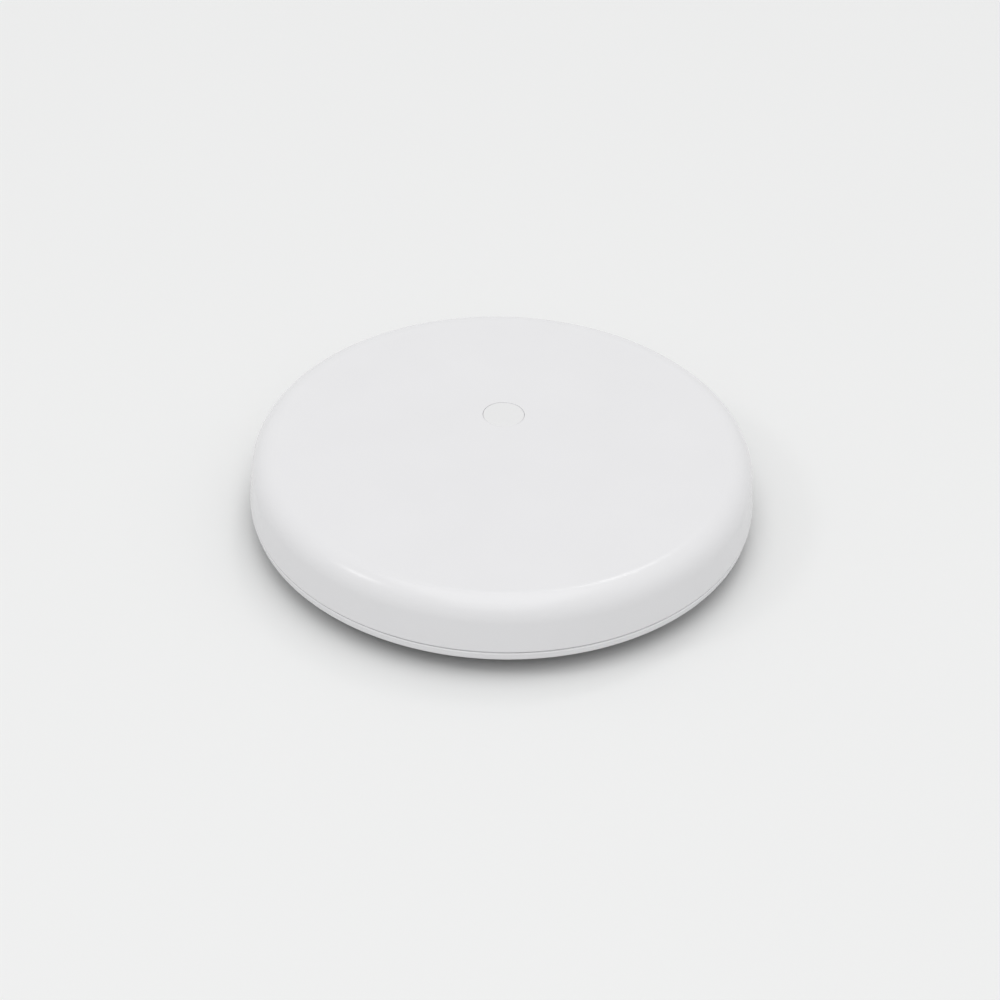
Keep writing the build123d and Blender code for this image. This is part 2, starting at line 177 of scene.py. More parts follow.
class SensorColours(bpy.types.PropertyGroup):
    """Colours of the sensor's finishes."""

    cover: colour("Cover", "White moulded plastic of the cover", (0.806, 0.804, 0.816))
    base: colour("Base", "White moulded plastic of the base and the door", (0.83, 0.83, 0.84))
    # painted shade: this grey on the undersides of the base and the door darkens the floor under the band
    underside: colour("Underside", "Grey coat under the base and the door", (0.19, 0.19, 0.195))
    button: colour("Button", "Milky plastic of the button", (0.8, 0.8, 0.804))
    seal: colour("Seals", "Silicone rubber of the seals", (0.16, 0.17, 0.18))
    steel: colour("Steel", "Steel of the studs, the nuts and the cell", (0.62, 0.62, 0.63))
    tin: colour("Tin", "Tinned sheet of the radio's can", (0.7, 0.71, 0.71))
    bronze: colour("Bronze", "Bronze of the cell's contacts", (0.78, 0.6, 0.34))
    board: colour("Board", "Lacquer of the circuit board", (0.018, 0.115, 0.06))
    chip: colour("Chips", "Resin of the chips", (0.05, 0.05, 0.055))
    ceramic: colour("Ceramic", "Ceramic of the small parts", (0.73, 0.68, 0.58))
    lamp: colour("Status light", "Resin of the status light", (0.9, 0.88, 0.72))
    floor: colour("Floor", "Floor and surroundings", (0.862, 0.866, 0.864))


class StudioSettings(bpy.types.PropertyGroup):
    """Camera and lamps."""

    distance: length("Camera distance", "From the camera to its target", 0.532)
    elevation: angle("Camera elevation", "Angle of the camera over the floor", 37.07)
    roll: angle("Camera roll", "Turn of the camera about its line of sight", 1.51)
    focal: number("Focal length", "Focal length in millimetres", 126.45)
    target: length("Camera target", "Height that the camera looks at", 0.0046)
    frame_right: number("Frame right", "Share of the frame that the middle lies to the right", 0.0016)
    frame_up: number("Frame up", "Share of the frame that the middle lies above", 0.0069)
    lamp_distance: length("Lamp distance", "From the lamps to the sensor", 1.2)
    sky: number("Sky", "Share of the floor's light that comes from all round", 0.65)


def rounded(corners, closed=True):
    """Points along straight runs whose corners are arcs.

    Each corner is (radius, height, rounding). The arc touches both runs at rounding divided by the
    tangent of half the corner's angle, and its points turn evenly about its centre. One more point
    on either side, its guard, keeps the shading of the straight runs flat."""
    spots = np.array([corner[:2] for corner in corners])
    points = []
    for place, (_, _, rounding) in enumerate(corners):
        spot = spots[place]
        at_end = not closed and place in (0, len(corners) - 1)
        if at_end or rounding <= 0:
            points.append(spot[None])
            continue
        back = spots[place - 1] - spot
        on = spots[(place + 1) % len(corners)] - spot
        back_length, on_length = np.linalg.norm(back), np.linalg.norm(on)
        back, on = back / back_length, on / on_length
        half = np.arccos(np.clip(back @ on, -1, 1)) / 2
        reach = rounding / tan(half)
        centre = spot + (back + on) / np.linalg.norm(back + on) * rounding / sin(half)
        turn = pi - 2 * half
        first, last = spot + back * reach - centre, spot + on * reach - centre
        step = BROAD_STEP if rounding > BROAD_ROUNDING else FINE_STEP
        share = np.linspace(0, 1, max(2, ceil(turn / step)) + 1)[:, None]
        arc = centre + (np.sin((1 - share) * turn) * first + np.sin(share * turn) * last) / sin(turn)
        guard = min(GUARD_MOST, GUARD_SHARE * rounding + GUARD_LEAST)
        before = reach + min(guard, GUARD_SHARE * (back_length - reach))
        after = reach + min(guard, GUARD_SHARE * (on_length - reach))
        points += [(spot + back * before)[None], arc, (spot + on * after)[None]]
    return np.concatenate(points)


def about_axis(radius, around, height, centre=(0.0, 0.0)):
    """Points at these radii, angles and heights about a vertical axis."""
    x = centre[0] + radius * np.cos(around)
    y = centre[1] + radius * np.sin(around)
    return np.stack(np.broadcast_arrays(x, y, height), axis=-1)


def along_ray(reach, across, level, turn):
    """Points at distances along and across a ray from the middle, at these levels."""
    x = reach * cos(turn) - across * sin(turn)
    y = reach * sin(turn) + across * cos(turn)
    return np.stack(np.broadcast_arrays(x, y, level), axis=-1)


def from_nearest(around, step):
    """Angles from the nearest multiple of a step."""
    return (around + step / 2) % step - step / 2


def turned(profile, around=ROUND, centre=(0.0, 0.0)):
    """Rows of points of a turned form: each profile point carried round a vertical axis."""
    return about_axis(profile[:, :1], around, profile[:, 1:2], centre)


def shell(rows, loop=False):
    """Vertices and faces of rows of points, each row closed round.

    With loop the last row joins the first. Without it the form is closed at both ends by a point in
    the middle of its end row, unless that row is one point already. Faces that enclose a negative
    volume are turned round, so that all faces point outwards."""
    if not loop:
        start, end = rows[:1].mean(axis=1, keepdims=True), rows[-1:].mean(axis=1, keepdims=True)
        inner = rows
        if np.ptp(rows[0], axis=0).max() < ONE_POINT:
            inner = inner[1:]
        if np.ptp(rows[-1], axis=0).max() < ONE_POINT:
            inner = inner[:-1]
        around = rows.shape[1]
        rows = np.concatenate([start.repeat(around, 1), inner, end.repeat(around, 1)])
    count, around = rows.shape[:2]
    index = np.arange(count * around).reshape(count, around)
    if not loop:
        index[0], index[-1] = index[0, 0], index[-1, 0]
    near, far = (index, np.roll(index, -1, 0)) if loop else (index[:-1], index[1:])
    faces = np.stack([near, np.roll(near, -1, 1), np.roll(far, -1, 1), far], axis=-1).reshape(-1, 4)
    points = rows.reshape(-1, 3)
    a, b, c, d = (points[faces[:, corner]] for corner in range(4))
    volume = (np.cross(b, c) * a).sum() + (np.cross(c, d) * a).sum()
    if volume < 0:
        faces = faces[:, ::-1]
    used, faces = np.unique(faces, return_inverse=True)
    return points[used], faces.reshape(-1, 4)


def piece(name, shells, material, body, slot, *nodes):
    """Make one object from closed shells, and let it ride on its body in place of its nodes.

    Corners that repeat in a face are left out, and so are faces with fewer than three others."""
    points = np.concatenate([part[0] for part in shells])
    starts = np.cumsum([0] + [len(part[0]) for part in shells[:-1]])
    faces = np.concatenate([part[1] + start for part, start in zip(shells, starts)])
    kept = faces != np.roll(faces, -1, axis=1)
    totals = kept.sum(axis=1)
    faces, kept, totals = faces[totals > 2], kept[totals > 2], totals[totals > 2]
    loops = faces[kept]
    loop_starts = np.concatenate([[0], np.cumsum(totals)[:-1]])
    mesh = bpy.data.meshes.new(name)
    mesh.vertices.add(len(points))
    mesh.vertices.foreach_set("co", points.astype(np.float32).ravel())
    mesh.loops.add(len(loops))
    mesh.loops.foreach_set("vertex_index", loops.astype(np.int32))
    mesh.polygons.add(len(totals))
    mesh.polygons.foreach_set("loop_start", loop_starts.astype(np.int32))
    mesh.polygons.foreach_set("use_smooth", np.ones(len(totals), bool))
    mesh.update(calc_edges=True)
    mesh.validate()
    mesh.set_sharp_from_angle(angle=SHARP_EDGE)
    mesh.materials.append(material)
    made = bpy.data.objects.new(name, mesh)
    bpy.context.scene.collection.objects.link(made)
    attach(made, body)
    if nodes:
        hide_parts(*nodes)
    return made


def block(start, end, width, low, high, turn):
    """A block along a ray from the middle: two sections, turned about the middle axis."""
    across = np.array([-width / 2, width / 2, width / 2, -width / 2])
    level = np.array([low, low, high, high])
    return shell(np.array([along_ray(reach, across, level, turn) for reach in (start, end)]))


def stud_place(turn):
    """Where the stud at this angle stands."""
    circle = -(STUD_LOW.y + STUD_HIGH.y) / 2
    return circle * cos(turn), circle * sin(turn)


def gasket_inside(size):
    """Inner radius of the housing's gasket, inside the cover's wall."""
    gasket_width = 0.00095
    return COVER_HIGH.x - size.cover_wall - gasket_width


def shade(tone, share):
    """A darker or lighter form of a colour."""
    return (*(min(1.0, channel * share) for channel in tone[:3]), 1)


def shown_rays(tree):
    """One for the rays that show a surface: the camera's, reflections and rays through glass."""
    path = tree.nodes.new("ShaderNodeLightPath")
    shown = path.outputs["Is Camera Ray"]
    for way in ("Is Glossy Ray", "Is Transmission Ray"):
        either = tree.nodes.new("ShaderNodeMath")
        either.operation = "MAXIMUM"
        tree.links.new(shown, either.inputs[0])
        tree.links.new(path.outputs[way], either.inputs[1])
        shown = either.outputs[0]
    return shown


class Finish:
    """A node material in the making."""

    def __init__(self, name):
        self.material = bpy.data.materials.new(name)
        self.material.use_nodes = True
        self.tree = self.material.node_tree
        self.shader = self.tree.nodes["Principled BSDF"]
        self.place = self.add("ShaderNodeTexCoord").outputs["Object"]

    def add(self, kind, **settings):
        """Add a node, set its own settings, and set or link its inputs by name."""
        inputs = settings.pop("inputs", {})
        node = self.tree.nodes.new(kind)
        for key, value in settings.items():
            setattr(node, key, value)
        for key, value in inputs.items():
            self.join(value, node.inputs[key])
        return node

    def join(self, value, socket):
        """Link an output to a socket, or give the socket a plain value."""
        if isinstance(value, bpy.types.NodeSocket):
            self.tree.links.new(value, socket)
        else:
            socket.default_value = value

    def set(self, **inputs):
        """Set or link inputs of the shader; an underscore stands for a space."""
        for key, value in inputs.items():
            self.join(value, self.shader.inputs[key.replace("_", " ")])

    def maths(self, operation, *values):
        """One step of arithmetic with outputs or plain values."""
        node = self.add("ShaderNodeMath", operation=operation, inputs=dict(enumerate(values)))
        return node.outputs[0]

    def moved(self, offset=(0, 0, 0), scale=(1, 1, 1), turn=0.0):
        """Object coordinates that are moved, turned about the vertical and stretched."""
        change = {"Location": offset, "Scale": scale, "Rotation": (0, 0, turn)}
        return self.add("ShaderNodeMapping", inputs={"Vector": self.place, **change}).outputs[0]

    def noise(self, size, detail, vector=None):
        """Even noise whose grains are about this size, in metres."""
        grains = {"Vector": vector or self.place, "Scale": 1 / size, "Detail": detail}
        return self.add("ShaderNodeTexNoise", inputs=grains).outputs["Fac"]

    def spread(self, value, low, high):
        """Stretch a value from the middle of its range to between low and high."""
        limits = {"From Min": NOISE_LOW, "From Max": NOISE_HIGH, "To Min": low, "To Max": high}
        return self.add("ShaderNodeMapRange", inputs={"Value": value, **limits}).outputs["Result"]

    def tint(self, value, tone, darker, lighter):
        """A colour that moves between a darker and a lighter form of one tone."""
        ramp = self.add("ShaderNodeValToRGB", inputs={"Fac": value})
        ends = zip(ramp.color_ramp.elements, (NOISE_LOW, NOISE_HIGH), (darker, lighter))
        for element, position, share in ends:
            element.position = position
            element.color = shade(tone, share)
        return ramp.outputs["Color"]

    def blend(self, share, first, second):
        """A colour that goes over from the first to the second."""
        mix = self.add("ShaderNodeMix", data_type="RGBA", inputs={0: share, 6: first, 7: second})
        return mix.outputs[2]

    def bump(self, value, depth):
        """Raise the surface by a value times a depth in metres."""
        normal = self.add("ShaderNodeBump", inputs={"Height": value, "Distance": depth, "Strength": 1.0})
        self.set(Normal=normal.outputs["Normal"])

    def mottle(self, tone, size, detail, darker, lighter):
        """Let noise move the colour between a darker and a lighter form of one tone."""
        self.set(Base_Color=self.tint(self.noise(size, detail), tone, darker, lighter))

    def gloss(self, size, detail, low, high):
        """Let noise move the roughness between low and high."""
        self.set(Roughness=self.spread(self.noise(size, detail), low, high))

    def relief(self, size, detail, depth):
        """Raise the surface by noise times a depth in metres."""
        self.bump(self.noise(size, detail), depth)


def moulded_plastic(name, tone, roughness=0.22, shade_coat=None, shade_coat_top=0.0, rim=1.0, shade_rim_top=0.0):
    """Satin moulded plastic: a fine even grain and a very faint cloudiness. Where it is lower than the
    coat's top, or than the rim's top outside of the rim, it can carry a speckled, matt grey coat of
    painted shade: it darkens the underside so that the floor under the sensor falls darker."""
    finish = Finish(name)
    cloudy = finish.tint(finish.noise(size=0.012, detail=3), tone, darker=0.99, lighter=1.005)
    if shade_coat:
        # the grey coat below these heights is painted shade, which darkens the underside and the floor
        # under it
        level = finish.add("ShaderNodeSeparateXYZ", inputs={"Vector": finish.place}).outputs["Z"]
        reach = finish.add("ShaderNodeVectorMath", operation="LENGTH", inputs={0: finish.place})
        outside = finish.maths("GREATER_THAN", reach.outputs["Value"], rim)
        top = finish.maths("MULTIPLY_ADD", outside, shade_rim_top - shade_coat_top, shade_coat_top)
        under = finish.maths("LESS_THAN", level, top)
        speckled_shade = finish.tint(finish.noise(size=0.0005, detail=3), shade_coat, darker=0.8, lighter=1.2)
        rough = finish.spread(under, low=roughness, high=0.7)
        finish.set(Base_Color=finish.blend(under, cloudy, speckled_shade), Roughness=rough)
    else:
        finish.set(Base_Color=cloudy)
        finish.gloss(size=0.0011, detail=2, low=roughness - 0.03, high=roughness + 0.03)
    finish.relief(size=0.0005, detail=2, depth=0.0000015)
    finish.set(IOR=1.48)
    return finish.material


def rubber(name, tone):
    """Silicone rubber: dull, with a dusty bloom and a soft grain."""
    finish = Finish(name)
    finish.mottle(tone, size=0.0016, detail=4, darker=0.85, lighter=1.3)
    finish.gloss(size=0.0006, detail=2, low=0.6, high=0.78)
    finish.relief(size=0.00012, detail=3, depth=0.00001)
    finish.set(IOR=1.43)
    return finish.material


def turned_steel(name, tone, centre):
    """Steel turned on a lathe: fine rings about its own axis and faint stains."""
    finish = Finish(name)
    about = finish.moved(offset=(-centre[0], -centre[1], 0))
    waves = {"Vector": about, "Scale": 2400.0, "Distortion": 0.6, "Detail": 2.0}
    rings = finish.add("ShaderNodeTexWave", wave_type="RINGS", rings_direction="Z", inputs=waves)
    finish.mottle(tone, size=0.0018, detail=4, darker=0.9, lighter=1.08)
    finish.gloss(size=0.0004, detail=3, low=0.24, high=0.38)
    finish.bump(rings.outputs["Fac"], depth=0.0000025)
    finish.set(Metallic=1.0)
    return finish.material


def rolled_steel(name, tone, grain=(1, 14, 1)):
    """Rolled or drawn sheet metal: a streaky grain along one direction."""
    finish = Finish(name)
    streaks = finish.noise(size=0.0009, detail=5, vector=finish.moved(scale=grain))
    finish.mottle(tone, size=0.003, detail=3, darker=0.93, lighter=1.05)
    finish.bump(streaks, depth=0.000003)
    finish.set(Metallic=1.0, Roughness=finish.spread(streaks, low=0.2, high=0.36))
    return finish.material


def board_lacquer(name, tone):
    """Green lacquer over copper: tracks in patches of the board, and tinned holes."""
    finish = Finish(name)
    plain = finish.tint(finish.noise(size=0.0009, detail=2), tone, darker=0.94, lighter=1.06)
    patches = finish.spread(finish.noise(size=0.009, detail=1), low=-1.5, high=2.5)
    cells = finish.add("ShaderNodeTexVoronoi", inputs={"Vector": finish.place, "Scale": 230.0})
    hole_radius, tinned = 0.08, (0.5, 0.46, 0.36, 1)
    holes = finish.maths("LESS_THAN", cells.outputs["Distance"], hole_radius)
    tracks = finish.add(
        "ShaderNodeTexBrick",
        offset=0.37,
        inputs={
            "Vector": finish.moved(turn=radians(45)),
            "Scale": 160.0,
            "Mortar Size": 0.03,
            "Mortar Smooth": 0.3,
            "Brick Width": 2.9,
            "Row Height": 0.15,
            "Color1": shade(tone, 0.96),
            "Color2": shade(tone, 1.04),
            "Mortar": shade(tone, 1.5),
        },
    )
    lacquer = finish.blend(patches, plain, tracks.outputs["Color"])
    finish.gloss(size=0.0008, detail=3, low=0.22, high=0.36)
    finish.bump(tracks.outputs["Fac"], depth=0.00002)
    finish.set(Base_Color=finish.blend(holes, lacquer, tinned), IOR=1.52)
    return finish.material


def moulded_resin(name, tone):
    """Filled resin of a chip: matt, speckled and slightly pitted."""
    finish = Finish(name)
    finish.mottle(tone, size=0.00025, detail=4, darker=0.7, lighter=1.5)
    finish.gloss(size=0.0005, detail=2, low=0.48, high=0.66)
    finish.relief(size=0.00008, detail=3, depth=0.000006)
    return finish.material


def fired_ceramic(name, tone):
    """Fired ceramic with metallised streaks."""
    finish = Finish(name)
    finish.mottle(tone, size=0.0006, detail=5, darker=0.82, lighter=1.12)
    finish.gloss(size=0.0003, detail=2, low=0.34, high=0.5)
    finish.relief(size=0.0001, detail=2, depth=0.000004)
    return finish.material


def clear_resin(name, tone):
    """Slightly cloudy resin of the status light."""
    finish = Finish(name)
    finish.mottle(tone, size=0.0007, detail=3, darker=0.9, lighter=1.1)
    finish.gloss(size=0.0004, detail=2, low=0.12, high=0.24)
    finish.relief(size=0.0002, detail=2, depth=0.000003)
    finish.set(IOR=1.5, Subsurface_Weight=0.3, Subsurface_Scale=0.0005)
    return finish.material


def dress(nodes, material):
    """Give carried-over pieces a finish."""
    for name in nodes:
        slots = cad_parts[name].data.materials
        slots.clear()
        slots.append(material)


class SENSOR_OT_top_cover(bpy.types.Operator):
    """Make the moulded shell of the cover, with its button hole, hook pockets and ceiling ribs"""

    bl_idname = "sensor.top_cover"
    bl_label = "Top cover"

    def execute(self, context):
        size = context.scene.sensor_sizes
        rim, low, top = COVER_HIGH.x, COVER_LOW.z, COVER_HIGH.z
        slope = tan(size.wall_lean)
        ceiling = top - size.cover_wall
        inside = rim - size.cover_wall
        inside_top = inside - slope * (ceiling - low)
        pocket_height, inner_round, rib_depth = 0.001, 0.0005, 0.00045
        pocket_low, pocket_high = size.tongue_top - pocket_height, size.tongue_top
        levels = (pocket_low, pocket_low + SLIT, pocket_high - SLIT, pocket_high)
        hole = size.button_radius + size.button_gap
        profile = rounded([
            (hole, top, size.button_edge),
            (rim - slope * (top - low), top, size.shoulder),
            (rim, low, size.edge),
            (inside, low, size.edge),
            *((inside - slope * (level - low), level, 0) for level in levels),
            (inside_top, ceiling - size.inner_bevel, inner_round),
            (inside_top - size.inner_bevel, ceiling, inner_round),
            (hole, ceiling, size.edge),
        ])
        rows = turned(profile)
        # at each hook the rows inside the wall between the pocket's levels stand further out
        radius, height = profile.T
        deep = (height > pocket_low) & (height < pocket_high) & (radius < inside)
        near = np.abs(from_nearest(ROUND, SIXTH)) < size.pocket_half
        rows[np.ix_(deep, near, [0, 1])] *= (size.pocket_radius / profile[deep, :1])[..., None]
        # rows near the hole run round the button's axis, all others round the middle
        rows[radius < BUTTON_HIGH.x, :, 1] += BUTTON_PLACE[1]
        shells = [shell(rows, loop=True)]
        rib_low, rib_high = ceiling - rib_depth, ceiling + SINK
        for turn in HOOK_TURNS:
            shells.append(block(size.rib_start, BOARD_HIGH.x, size.rib, rib_low, rib_high, turn))
        material = moulded_plastic("cover_plastic", context.scene.sensor_colours.cover)
        piece("cover_shell", shells, material, "housing", "cover_plastic", "top_cover")
        return {"FINISHED"}


class SENSOR_OT_base_shell(bpy.types.Operator):
    """Make the base with its band, underside, door socket, lugs, bosses, ribs and hooks"""

    bl_idname = "sensor.base_shell"
    bl_label = "Base shell"

    def execute(self, context):
        size = context.scene.sensor_sizes
        tongue_outside = gasket_inside(size) - size.tongue_gap
        tongue_inside = tongue_outside - size.tongue_wall
        recess = DOOR_HIGH.x + size.flange_gap
        bay_outside = recess + size.bay_wall
        profile = self.profile(size, tongue_outside, tongue_inside, recess, bay_outside)
        shells = [shell(turned(profile), loop=True)]
        shells += [self.lug(size, turn) for turn in LUG_TURNS]
        shells += [self.boss(size, stud_place(turn)) for turn in STUDS.values()]
        start, end = bay_outside - SINK, tongue_inside + SINK
        for turn in HOOK_TURNS:
            shells.append(block(start, end, size.rib, size.floor_top - SINK, size.shelf, turn))
            shells.append(self.hook(size, tongue_outside, turn))
        tones = context.scene.sensor_colours
        # the base's underside carries the grey coat of painted shade
        material = moulded_plastic(
            "base_plastic",
            tones.base,
            shade_coat=tones.underside,
            shade_coat_top=size.floor_top - SHADE_COAT_STEP,
            rim=COVER_HIGH.x - size.underside_inset,
            shade_rim_top=size.band_low - SHADE_COAT_STEP,
        )
        piece("base_body", shells, material, "housing", "base_plastic", "base_shell")
        return {"FINISHED"}

    @staticmethod
    def profile(size, tongue_outside, tongue_inside, recess, bay_outside):
        """Half section of the base, as a closed loop round the door's bore."""
        underside_round = 0.0025
        bore = size.skirt_outside + size.skirt_gap
        recess_top = DOOR_SEAL_HIGH.z + SLIT
        return rounded([
            (recess, BASE_LOW.z, size.edge),
            (COVER_HIGH.x - size.underside_inset, BASE_LOW.z, underside_round),
            (COVER_HIGH.x - size.band_tuck, size.band_low, FILLET),
            (COVER_HIGH.x, size.shelf, size.edge),
            (tongue_outside, size.shelf, 0),
            (tongue_outside, size.tongue_top, SLIGHT),
            (tongue_inside, size.tongue_top, SLIGHT),
            (tongue_inside, size.floor_top, FILLET),
            (bay_outside, size.floor_top, FILLET),
            (bay_outside, size.bay_top, size.edge),
            (bore, size.bay_top, size.edge),
            (bore, recess_top, CRISP),
            (recess, recess_top, CRISP),
        ])

    @staticmethod
    def lug(size, turn):
        """A bar whose section is carried along a helix, between its inner and its outer radius."""
        inner = size.skirt_outside - size.skirt_wall + size.lug_gap
        outer = size.skirt_outside + size.skirt_gap + SINK
        half = size.lug_height / 2
        reach = np.array([inner, inner + CRISP, outer, outer, inner + CRISP, inner])
        level = np.array([CRISP - half, -half, -half, half, half, half - CRISP])
        sections = 13
        along = np.linspace(-size.lug_arc / 2, size.lug_arc / 2, sections)[:, None]
        height = size.lug_level + size.thread_lead * along / (2 * pi) + level
        return shell(about_axis(reach, along + turn, height))

    @staticmethod
    def boss(size, place):
        """A post with a hole, which carries the board on its flat end."""
        hole = size.stud_shank + CRISP
        foot = size.floor_top - SINK
        profile = rounded([
            (hole, foot, 0),
            (size.boss_radius, foot, 0),
            (size.boss_radius, BOARD_LOW.z, size.edge),
            (hole, BOARD_LOW.z, CRISP),
        ])
        return shell(turned(profile, SMALL_ROUND, place), loop=True)

    @staticmethod
    def hook(size, tongue_outside, turn):
        """A wedge on the tongue: flat below, sloping above to a narrow top."""
        reach, height, width = 0.0013, 0.0008, 0.005
        ray = tongue_outside + np.array([-SINK, reach - CRISP, reach, size.edge, -SINK])
        level = size.tongue_top - CRISP - height + np.array([0, 0, CRISP, height, height])
        sides = (-width / 2, width / 2)
        return shell(np.array([along_ray(ray, side, level, turn) for side in sides]))


class SENSOR_OT_test_button(bpy.types.Operator):
    """Make the flush round button and finish its switch and the status light"""

    bl_idname = "sensor.test_button"
    bl_label = "Test button"

    def execute(self, context):
        size = context.scene.sensor_sizes
        tones = context.scene.sensor_colours
        flange = BUTTON_HIGH.x
        flange_height, flange_edge = 0.00045, 0.00008
        flange_top = BUTTON_LOW.z + flange_height
        profile = rounded([
            (0, BUTTON_HIGH.z, 0),
            (size.button_radius, BUTTON_HIGH.z, size.button_edge),
            (size.button_radius, flange_top, 0),
            (flange, flange_top, flange_edge),
            (flange, BUTTON_LOW.z, flange_edge),
            (0, BUTTON_LOW.z, 0),
        ], closed=False)
        material = moulded_plastic("button_plastic", tones.button, roughness=0.36)
        shells = [shell(turned(profile, SMALL_ROUND, BUTTON_PLACE))]
        piece("button_cap", shells, material, "button", "button_plastic", "test_button")
        dress(["switch_plunger"], material)
        dress(["tactile_switch"], moulded_resin("switch_resin", tones.chip))
        dress(["status_led"], clear_resin("led_resin", tones.lamp))
        return {"FINISHED"}


class SENSOR_OT_probe_studs(bpy.types.Operator):
    """Make the three steel studs, with their turned heads and threads, and their nuts"""

    bl_idname = "sensor.probe_studs"
    bl_label = "Probe studs"

    def execute(self, context):
        size = context.scene.sensor_sizes
        tone = context.scene.sensor_colours.steel
        for name, turn in STUDS.items():
            place = stud_place(turn)
            material = turned_steel("stud_steel_" + name, tone, place)
            piece(name + "_stud", [self.stud(size, place)], material, "housing", "stud_steel", name)
        nuts = [self.nut(size, stud_place(turn)) for turn in STUDS.values()]
        material = rolled_steel("nut_steel", tone)
        piece("stud_nuts", nuts, material, "housing", "stud_steel", "probe_nuts")
        return {"FINISHED"}

    @staticmethod
    def stud(size, place):
        """A turned head, and a shank whose upper part has a thread: its radius there is less by a
        triangle wave of the height over the pitch minus the share of a full turn."""
        head = (STUD_HIGH.x - STUD_LOW.x) / 2
        head_top, tip = BASE_LOW.z, STUD_HIGH.z
        below = rounded([
            (0, 0, 0),
            (head - size.stud_bevel, 0, size.edge),
            (head, size.stud_bevel, size.edge),
            (head, head_top, CRISP),
            (size.stud_shank, head_top, 0),
            (size.stud_shank, BOARD_LOW.z, 0),
        ], closed=False)
        thread_rows, thread_depth = 45, 0.00022
        thread = np.linspace(BOARD_LOW.z + CRISP, tip - size.edge, thread_rows)
        above = np.stack([np.full(thread_rows, size.stud_shank), thread], axis=-1)
        end = np.array([[size.stud_shank - size.edge, tip], [0, tip]])
        rows = turned(np.concatenate([below, above, end]), SMALL_ROUND, place)
        phase = (thread[:, None] / size.thread_pitch - SMALL_ROUND / (2 * pi)) % 1
        depth = thread_depth * (1 - np.abs(2 * phase - 1))
        threaded = slice(len(below), len(below) + thread_rows)
        shrink = 1 - depth / size.stud_shank
        rows[threaded, :, :2] = place + (rows[threaded, :, :2] - place) * shrink[..., None]
        return shell(rows)

    @staticmethod
    def nut(size, place):
        """A hexagon nut: the radius is the flat's distance over the cosine of the angle from the
        middle of the flat, and no more than a cone's that bevels the corners at both ends."""
        flat, bevel_height, bevel_width = 0.00225, 0.00009, 0.000144
        side = flat / np.cos(from_nearest(SMALL_ROUND, SIXTH))
        corner = flat / cos(SIXTH / 2)
        cut = corner - bevel_width
        bore = size.stud_shank + SLIT
        low, high = NUT_LOW.z, NUT_HIGH.z
        levels = np.array([low, low + bevel_height, high - bevel_height, high, high, low])[:, None]
        limit = np.array([cut, corner, corner, cut, bore, bore])[:, None]
        return shell(about_axis(np.minimum(side, limit), SMALL_ROUND, levels, place), loop=True)


class SENSOR_OT_seals(bpy.types.Operator):
    """Make the housing's gasket and the door's seal"""

    bl_idname = "sensor.seals"
    bl_label = "Seals"

    def execute(self, context):
        size = context.scene.sensor_sizes
        material = rubber("seal_rubber", context.scene.sensor_colours.seal)
        gasket = self.ring(gasket_inside(size), GASKET_LOW, GASKET_HIGH)
        piece("gasket_ring", [gasket], material, "housing", "seal_rubber", "housing_gasket")
        seal = self.ring(size.skirt_outside + SLIT, DOOR_SEAL_LOW, DOOR_SEAL_HIGH)
        piece("door_seal_ring", [seal], material, "door", "seal_rubber", "door_seal")
        return {"FINISHED"}

    @staticmethod
    def ring(inner, low, high):
        """A ring of rounded square section."""
        soft = 0.00022
        corners = [(inner, low.z), (high.x, low.z), (high.x, high.z), (inner, high.z)]
        return shell(turned(rounded([(*corner, soft) for corner in corners])), loop=True)


